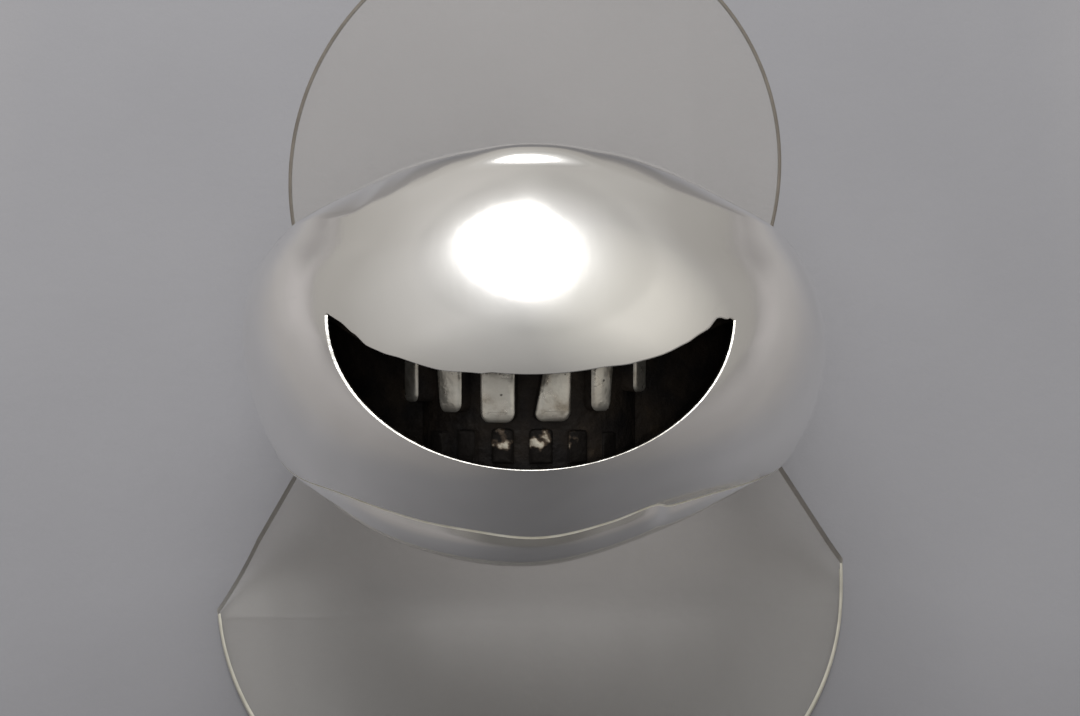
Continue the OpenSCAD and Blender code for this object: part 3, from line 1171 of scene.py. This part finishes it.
def grey(value):
    """An even grey."""
    return (value, value, value)


def polished_silver():
    """Hand-polished silver: a mirror that wavers a little, with hair scratches."""
    material, tree, shader = new_finish("polished silver", 1)
    colour_by(tree, shader, grain(tree, 260, 2), [[0.3, (0.90, 0.89, 0.87)], [0.7, (0.95, 0.94, 0.925)]])
    roughen_by(tree, shader, grain(tree, 420, 4), [[0.3, 0.10], [0.75, 0.2]])
    sway = bump(tree, shader, grain(tree, 180, 1), 0.05)
    bump(tree, shader, grain(tree, 2500, 3, (1, 0.15, 1)), 0.004, under=sway)
    return material


def lip_silver():
    """The burnished bevel round the mouth."""
    material, tree, shader = new_finish("burnished lip", 1)
    colour_by(tree, shader, grain(tree, 900, 2), [[0.3, (0.93, 0.90, 0.82)], [0.7, (0.97, 0.96, 0.93)]])
    roughen_by(tree, shader, grain(tree, 3000, 3), [[0.3, 0.18], [0.8, 0.4]])
    bump(tree, shader, grain(tree, 2500, 3), 0.05)
    return material


def blackened_silver():
    """Silver blackened in the hollow, dull and a little brown."""
    material, tree, shader = new_finish("blackened silver", 0.1)
    colour_by(tree, shader, grain(tree, 700, 5), [
        [0.35, (0.008, 0.007, 0.007)], [0.62, (0.018, 0.014, 0.011)], [0.8, (0.05, 0.036, 0.024)]])
    roughen_by(tree, shader, grain(tree, 1500, 4), [[0.3, 0.45], [0.7, 0.8]])
    shader.inputs["Specular IOR Level"].default_value = 0.25
    bump(tree, shader, grain(tree, 2500, 5), 0.25)
    return material


def crease_silver():
    """The filed line in the crease, a little rougher than the polished dome."""
    material, tree, shader = new_finish("filed crease", 0.5)
    colour_by(tree, shader, grain(tree, 1200, 2), [[0.3, (0.60, 0.57, 0.47)], [0.7, (0.75, 0.73, 0.66)]])
    roughen_by(tree, shader, grain(tree, 2500, 3), [[0.3, 0.3], [0.8, 0.5]])
    bump(tree, shader, grain(tree, 3000, 3), 0.05)
    return material


def tooth_silver():
    """The upper teeth's worn faces: warm grey silver, with a little tarnish and a few specks."""
    material, tree, shader = new_finish("tooth silver", 0.85)
    tone = ramp(tree, grain(tree, 1100, 4), [
        [0.3, (0.40, 0.36, 0.30)], [0.45, (0.66, 0.63, 0.57)], [0.65, (0.76, 0.74, 0.68)]])
    speck = ramp(tree, grain(tree, 2600, 1), [[0.72, grey(1)], [0.76, grey(0.12)]])
    tree.links.new(blend(tree, tone, speck, "MULTIPLY"), shader.inputs["Base Color"])
    roughen_by(tree, shader, grain(tree, 2200, 4), [[0.3, 0.25], [0.7, 0.42]])
    bump(tree, shader, grain(tree, 1500, 3), 0.08)
    return material


def lower_tooth_silver():
    """The lower teeth: blackened, with the silver bright near the middle and the bite, partly from wear
    and partly as painted glints.
    """
    material, tree, shader = new_finish("lower tooth silver", 0.7)
    # The bright patches are partly wear and partly painted glints. They are kept off the side teeth and
    # off the roots.
    aside = sums(tree, "ABSOLUTE", own_axis(tree, "X"))
    far = between(tree, aside, 1.2 * MM, 3.4 * MM, 0, 0.3)
    low = between(tree, along_way(tree, own_place(tree), HOLE_WAY), 2.2 * MM, 2.6 * MM, 0.3, 0)
    kept = sums(tree, "ADD", far, low)
    wear_and_glints = sums(tree, "SUBTRACT", grain(tree, 1500, 5), kept)
    colour_by(tree, shader, wear_and_glints, [
        [0.48, (0.012, 0.010, 0.009)], [0.555, (0.10, 0.075, 0.055)],
        [0.585, (0.42, 0.37, 0.30)], [0.66, (0.66, 0.62, 0.53)]])
    roughen_by(tree, shader, wear_and_glints, [[0.45, 0.6], [0.55, 0.35]])
    bump(tree, shader, grain(tree, 1500, 5), 0.2)
    return material


def clear_face():
    """The sheet's two faces: clear, with painted shade that darkens them where the sheet lies on the
    floor, and glossier at a slant.
    """
    material, tree, shader = new_finish("clear sheet", 1)
    shader.inputs["Base Color"].default_value = (1, 1, 1, 1)
    roughen_by(tree, shader, grain(tree, 300, 4, (1, 0.2, 0.2)), [[0.35, 0.42], [0.7, 0.5]])
    clear = tree.nodes.new("ShaderNodeBsdfTransparent")
    # Painted shade: the see-through colour is darker low down, where the sheet lies on the floor.
    height = between(tree, own_axis(tree, "Z"), 0.2 * MM, 3 * MM)
    painted_shade_tint = ramp(tree, height, [
        [0, (0.905, 0.897, 0.88)], [0.3, (0.93, 0.92, 0.90)], [1, (0.975, 0.965, 0.945)]])
    tree.links.new(painted_shade_tint, clear.inputs["Color"])
    slant = tree.nodes.new("ShaderNodeLayerWeight")
    slant.inputs["Blend"].default_value = 0.5
    face_on = 0.045
    steep = sums(tree, "POWER", slant.outputs["Facing"], 5)
    gloss = sums(tree, "MULTIPLY_ADD", steep, 1 - face_on, face_on)
    mix = tree.nodes.new("ShaderNodeMixShader")
    tree.links.new(gloss, mix.inputs["Fac"])
    tree.links.new(clear.outputs["BSDF"], mix.inputs[1])
    tree.links.new(shader.outputs["BSDF"], mix.inputs[2])
    tree.links.new(mix.outputs["Shader"], tree.nodes["Material Output"].inputs["Surface"])
    return material


def clear_edge():
    """The sheet's cut edge, a little frosty: painted pale round the foot's front as a painted highlight,
    and painted brown elsewhere as a painted reflection.
    """
    material, tree, shader = new_finish("cut edge")
    # Painted highlight in front of the line through the foot's corners, painted reflection behind it,
    # with a random tone over both.
    behind = along_way(tree, own_place(tree), (-CORNER_LINE_RISE, 1, 0))
    turn = between(tree, behind, CORNER_LINE_Y * MM, (CORNER_LINE_Y + 0.4) * MM)
    side = ramp(tree, turn, [[0, (0.60, 0.58, 0.50)], [1, (0.23, 0.205, 0.175)]])
    tone = ramp(tree, grain(tree, 900, 3), [[0.3, grey(0.75)], [0.7, grey(1)]])
    tree.links.new(blend(tree, side, tone, "MULTIPLY"), shader.inputs["Base Color"])
    shader.inputs["Roughness"].default_value = 0.3
    shader.inputs["Alpha"].default_value = 0.85
    return material


def lobe(tree, centre, radii, stops):
    """Shades in an oval on the floor, as [share of the way out, shade]."""
    mapping = tree.nodes.new("ShaderNodeMapping")
    mapping.inputs["Location"].default_value = (-centre[0] / radii[0], -centre[1] / radii[1], 0)
    mapping.inputs["Scale"].default_value = (1 / radii[0], 1 / radii[1], 1)
    away = tree.nodes.new("ShaderNodeVectorMath")
    away.operation = "LENGTH"
    tree.links.new(own_place(tree), mapping.inputs["Vector"])
    tree.links.new(mapping.outputs["Vector"], away.inputs[0])
    return ramp(tree, away.outputs["Value"], stops)


def ahead(tree):
    """How far a place on the floor lies towards the front, from -1 behind to 1 straight ahead."""
    flat = tree.nodes.new("ShaderNodeVectorMath")
    flat.operation = "MULTIPLY"
    flat.inputs[1].default_value = (1, 1, 0)
    tree.links.new(own_place(tree), flat.inputs[0])
    way = tree.nodes.new("ShaderNodeVectorMath")
    way.operation = "NORMALIZE"
    tree.links.new(flat.outputs["Vector"], way.inputs[0])
    return along_way(tree, way.outputs["Vector"], (0, -1, 0))


def floor_finish():
    """The plain pale floor, with the least mottling.

    It carries painted shade: a soft painted shadow far in front that spares the floor near the ring, a
    soft painted shadow far behind, painted shade towards the front and to the right, and painted light,
    paler and warmer, far to both sides.
    """
    material, tree, shader = new_finish("pale floor")
    tone = ramp(tree, grain(tree, 60, 4), [[0.3, (0.352, 0.354, 0.384)], [0.7, (0.378, 0.380, 0.411)]])
    # Painted shadow far in front.
    painted_shadow_ahead = ramp(tree, ahead(tree), [
        [0.3, grey(1)], [0.57, grey(0.88)], [0.70, grey(0.77)], [0.78, grey(0.67)],
        [0.9, grey(0.55)], [1, grey(0.42)]])
    # The floor close in front of the ring is spared the painted shadow.
    near = ramp(tree, between(tree, own_axis(tree, "Y"), -22 * MM, -5 * MM), [[0, grey(0)], [1, grey(1)]])
    front = blend(tree, painted_shadow_ahead, near, "LIGHTEN")
    # Painted shadow far behind.
    behind = lobe(tree, (0, 300 * MM), (240 * MM, 262 * MM), [[0.84, grey(0.52)], [1, grey(1)]])
    # Painted shade towards the front.
    back = ramp(tree, between(tree, own_axis(tree, "Y"), -20 * MM, 30 * MM),
                [[0, grey(0.74)], [1, grey(1)]])
    # Painted shade to the right.
    left = ramp(tree, between(tree, own_axis(tree, "X"), -25 * MM, 25 * MM),
                [[0, grey(1)], [1, grey(0.92)]])
    # Painted light far to both sides: paler and warmer, after a slight even darkening nearer in.
    aside = sums(tree, "ABSOLUTE", own_axis(tree, "X"))
    sides = ramp(tree, between(tree, aside, 26 * MM, 100 * MM), [
        [0, grey(0.88)], [0.25, (1.08, 1.045, 0.985)], [1, (1.3, 1.25, 1.18)]])
    for layer in (front, behind, back, left, sides):
        tone = blend(tree, tone, layer, "MULTIPLY")
    tree.links.new(tone, shader.inputs["Base Color"])
    shader.inputs["Roughness"].default_value = 0.8
    bump(tree, shader, grain(tree, 900, 4), 0.1)
    return material


def make_floor():
    """The floor that the stand is seen on."""
    bpy.ops.mesh.primitive_plane_add(size=FLOOR_SIZE * MM, location=(0, 0, -FLOOR_DROP * MM))
    piece = start_piece("floor")
    piece.data.materials.append(floor_finish())


def toward(tree, way, stops):
    """The room's colours by how far a direction is from a way, as [cosine, colour]."""
    direction = tree.nodes.new("ShaderNodeTexCoord").outputs["Generated"]
    return ramp(tree, along_way(tree, direction, Vector(way).normalized()), stops)


def make_room():
    """A pale room, dark to the front, with the lamp's glow overhead."""
    world = bpy.data.worlds.new("room")
    bpy.context.scene.world = world
    world.use_nodes = True
    tree = world.node_tree
    tree.nodes.clear()
    output = tree.nodes.new("ShaderNodeOutputWorld")
    background = tree.nodes.new("ShaderNodeBackground")
    sky = toward(tree, UP, [
        [0, (0.35, 0.335, 0.315)],
        [0.26, (0.375, 0.36, 0.34)],
        [0.42, (0.435, 0.42, 0.40)],
        [0.57, (0.505, 0.49, 0.47)],
        [0.71, (0.57, 0.555, 0.535)],
        [1, (0.60, 0.59, 0.57)],
    ])
    back = toward(tree, BACK_WAY, [[0.4, grey(0.96)], [0.86, grey(1.1)], [1, grey(1.3)]])
    front = toward(tree, FRONT_WAY, [
        [0.42, grey(1)], [0.6, grey(0.74)], [0.74, grey(0.62)], [0.84, grey(0.5)], [0.93, grey(0.36)]])
    right = toward(tree, RIGHT_WAY, [[0.72, grey(1)], [0.97, (1.32, 1.31, 1.26)]])
    surround = toward(tree, SURROUND_WAY, [[0.70, grey(1)], [0.73, grey(0.88)]])
    for layer in (back, front, right, surround):
        sky = blend(tree, sky, layer, "MULTIPLY")
    glow = toward(tree, LAMP_WAY, [
        [0.74, grey(0)], [0.82, grey(0.08)], [0.87, grey(0.19)], [0.905, grey(0.36)], [0.93, grey(0.62)]])
    tree.links.new(blend(tree, sky, glow, "ADD"), background.inputs["Color"])
    tree.links.new(background.outputs["Background"], output.inputs["Surface"])


def add_lamp(name, way, away, size, power):
    """An oval lamp of two widths that shines at the stand from some way off."""
    lamp = bpy.data.lights.new(name, "AREA")
    lamp.shape = "ELLIPSE"
    lamp.size = size[0] * MM
    lamp.size_y = size[1] * MM
    lamp.energy = power
    lamp.color = LAMP_COLOUR
    holder = bpy.data.objects.new(name, lamp)
    holder.location = way * away * MM
    holder.rotation_euler = way.to_track_quat("Z", "Y").to_euler()
    bpy.context.collection.objects.link(holder)
    return holder


def make_lamps():
    """One large lamp overhead, and two that light the teeth and don't show in reflections."""
    add_lamp("overhead", LAMP_WAY, away=500, size=(365, 470), power=0.9)
    fill = add_lamp("fill", DOME_WAY, away=400, size=(140, 140), power=0.3)
    thrown = add_lamp("thrown_light", DOME_WAY, away=200, size=(10, 10), power=0.9)
    thrown.data.type = "SPOT"
    thrown.data.spot_size = radians(7)
    thrown.data.spot_blend = 1
    thrown.data.shadow_soft_size = 5 * MM
    thrown.location += Vector((2, -7, 0)) * MM
    for lamp in (fill, thrown):
        lamp.visible_glossy = False


def make_camera():
    """The photo's camera."""
    camera = bpy.data.cameras.new("camera")
    camera.sensor_width = CAMERA_SENSOR
    camera.lens = CAMERA_LENS
    camera.shift_x = CAMERA_SHIFT[0] / PHOTO_W
    camera.shift_y = CAMERA_SHIFT[1] / PHOTO_W
    camera.clip_start = CAMERA_CLIP * MM
    holder = bpy.data.objects.new("camera", camera)
    holder.location = (Vector(RING_MIDDLE) + DOME_WAY * CAMERA_AWAY) * MM
    holder.rotation_euler = (radians(LEAN), 0, 0)
    bpy.context.collection.objects.link(holder)
    bpy.context.scene.camera = holder


make_camera()
make_floor()
make_room()
make_lamps()

shell = make_shell()
for finish in (polished_silver(), lip_silver(), blackened_silver(), crease_silver()):
    shell.data.materials.append(finish)
black = shell.data.materials[BLACKENED]
ridge = make_ridge()
ridge.data.materials.append(black)
teeth = make_teeth((tooth_silver(), lower_tooth_silver(), black))
sheet = make_sheet()
for finish in (clear_face(), clear_edge()):
    sheet.data.materials.append(finish)

for piece in (shell, ridge, teeth):
    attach(piece, "root")
    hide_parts("ring")
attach(sheet, "root")
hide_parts("stand")

bpy.context.scene.view_settings.view_transform = "Standard"
